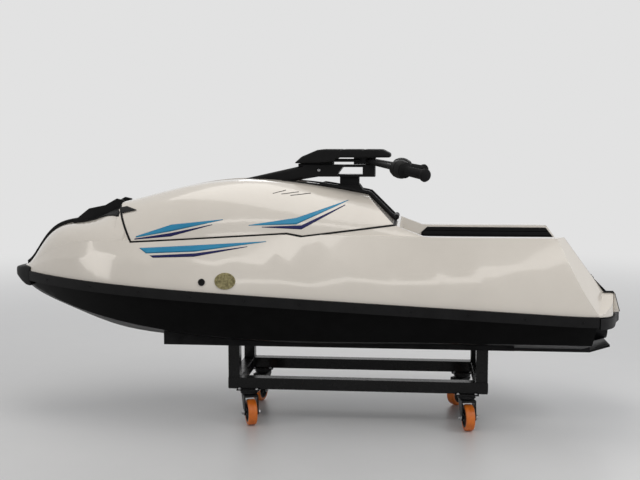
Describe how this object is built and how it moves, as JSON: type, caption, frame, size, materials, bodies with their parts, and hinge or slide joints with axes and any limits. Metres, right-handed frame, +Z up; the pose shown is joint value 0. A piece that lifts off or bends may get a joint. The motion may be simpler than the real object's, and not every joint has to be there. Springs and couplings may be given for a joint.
{
  "type": "stand-up personal watercraft on a rolling cart",
  "caption": "Stand-up personal watercraft with a lift-up handle pole, open rider's tray and jet pump, parked on a rolling cart with swivel casters.",
  "frame": {"origin": "on the floor, below the middle of the craft's length and breadth", "axes": "+X to the bow, +Y to port, +Z up"},
  "size_m": [2.4182, 0.7748, 1.0662],
  "materials": {
    "hull_black": "satin black moulded hull",
    "gelcoat_white": "glossy warm white moulding",
    "seal_rubber": "matt",
    "trim_black": "fine grained",
    "bumper_black": "satin",
    "bumper_grey": "satin",
    "foam_mat": "grooved foam",
    "engine_metal": "cast",
    "pump_metal": "cast",
    "impeller_steel": "machined",
    "disc_gold": "satin olive gold",
    "pole_black": "satin",
    "bar_metal": "satin black",
    "pad_foam": "moulded foam",
    "grip_rubber": "ribbed",
    "cart_paint": "gloss black powder coat",
    "bunk_carpet": "carpet",
    "fork_black": "satin black",
    "wheel_orange": "moulded tread",
    "wheel_hub": "moulded"
  },
  "bodies": {
    "craft": {"hull": "hull_black", "deck": "gelcoat_white", "hood": "gelcoat_white", "hood_seal": "seal_rubber", "hood_console": "trim_black", "hood_vents": "trim_black", "bow_cover": "trim_black", "bow_spine": "trim_black", "bow_bumper": "bumper_black", "rub_rails": "bumper_black", "stern_bumper": "bumper_grey", "tray_mat": "foam_mat", "gunnel_mats": "foam_mat", "engine_block": "engine_metal", "pump_housing": "pump_metal", "ride_plate": "pump_metal", "intake_grate": "pump_metal", "side_outlet": "trim_black", "side_disc": "disc_gold", "pole_bracket": "trim_black", "pole_rest": "seal_rubber", "cart_rails": "cart_paint", "cart_cross_tubes": "cart_paint", "cart_posts": "cart_paint", "cart_bunks": "bunk_carpet", "caster_plates": "cart_paint"},
    "pole": {"pole_beam": "pole_black", "pole_pin": "impeller_steel", "pole_head": "pole_black"},
    "steering": {"steering_stem": "bar_metal", "handlebar": "bar_metal", "bar_pad": "pad_foam", "grips": "grip_rubber", "switch_housing": "trim_black", "throttle_lever": "trim_black"},
    "nozzle": {"steering_nozzle": "pump_metal"},
    "impeller": {"impeller": "impeller_steel"},
    "swivel_front_left": {"caster_fork_front_left": "fork_black"},
    "wheel_front_left": {"caster_tread_front_left": "wheel_orange", "caster_hub_front_left": "wheel_hub"},
    "swivel_front_right": {"caster_fork_front_right": "fork_black"},
    "wheel_front_right": {"caster_tread_front_right": "wheel_orange", "caster_hub_front_right": "wheel_hub"},
    "swivel_rear_left": {"caster_fork_rear_left": "fork_black"},
    "wheel_rear_left": {"caster_tread_rear_left": "wheel_orange", "caster_hub_rear_left": "wheel_hub"},
    "swivel_rear_right": {"caster_fork_rear_right": "fork_black"},
    "wheel_rear_right": {"caster_tread_rear_right": "wheel_orange", "caster_hub_rear_right": "wheel_hub"}
  },
  "joints": [
    {"name": "pole_lift", "type": "hinge", "parent": "craft", "child": "pole", "pos_m": [0.785, 0, 0.80234], "axis": [0, 1, 0], "range_deg": [0, 70]},
    {"name": "steer", "type": "hinge", "parent": "pole", "child": "steering", "pos_m": [-0.24, 0, 1.00524], "axis": [0, 0, 1], "range_deg": [-25, 25]},
    {"name": "nozzle_turn", "type": "hinge", "parent": "craft", "child": "nozzle", "pos_m": [-1.053, 0, 0.37434], "axis": [0, 0, 1], "range_deg": [-18, 18]},
    {"name": "impeller_spin", "type": "hinge", "parent": "craft", "child": "impeller", "pos_m": [-0.748, 0, 0.37434], "axis": [1, 0, 0], "continuous": true},
    {"name": "swivel_front_left", "type": "hinge", "parent": "craft", "child": "swivel_front_left", "pos_m": [0.217, 0.182, 0.12], "axis": [0, 0, 1], "continuous": true},
    {"name": "roll_front_left", "type": "hinge", "parent": "swivel_front_left", "child": "wheel_front_left", "pos_m": [0.20537, 0.21395, 0.05], "axis": [-0.9397, -0.342, 0], "continuous": true},
    {"name": "swivel_front_right", "type": "hinge", "parent": "craft", "child": "swivel_front_right", "pos_m": [0.217, -0.182, 0.12], "axis": [0, 0, 1], "continuous": true},
    {"name": "roll_front_right", "type": "hinge", "parent": "swivel_front_right", "child": "wheel_front_right", "pos_m": [0.2258, -0.14916, 0.05], "axis": [-0.9659, 0.2588, 0], "continuous": true},
    {"name": "swivel_rear_left", "type": "hinge", "parent": "craft", "child": "swivel_rear_left", "pos_m": [-0.626, 0.182, 0.12], "axis": [0, 0, 1], "continuous": true},
    {"name": "roll_rear_left", "type": "hinge", "parent": "swivel_rear_left", "child": "wheel_rear_left", "pos_m": [-0.6319, 0.21548, 0.05], "axis": [-0.9848, -0.1736, 0], "continuous": true},
    {"name": "swivel_rear_right", "type": "hinge", "parent": "craft", "child": "swivel_rear_right", "pos_m": [-0.626, -0.182, 0.12], "axis": [0, 0, 1], "continuous": true},
    {"name": "roll_rear_right", "type": "hinge", "parent": "swivel_rear_right", "child": "wheel_rear_right", "pos_m": [-0.60415, -0.15595, 0.05], "axis": [-0.766, 0.6428, 0], "continuous": true}
  ],
  "couplings": [
    {"joint": "nozzle_turn", "follows": "steer", "ratio": -0.7}
  ]
}
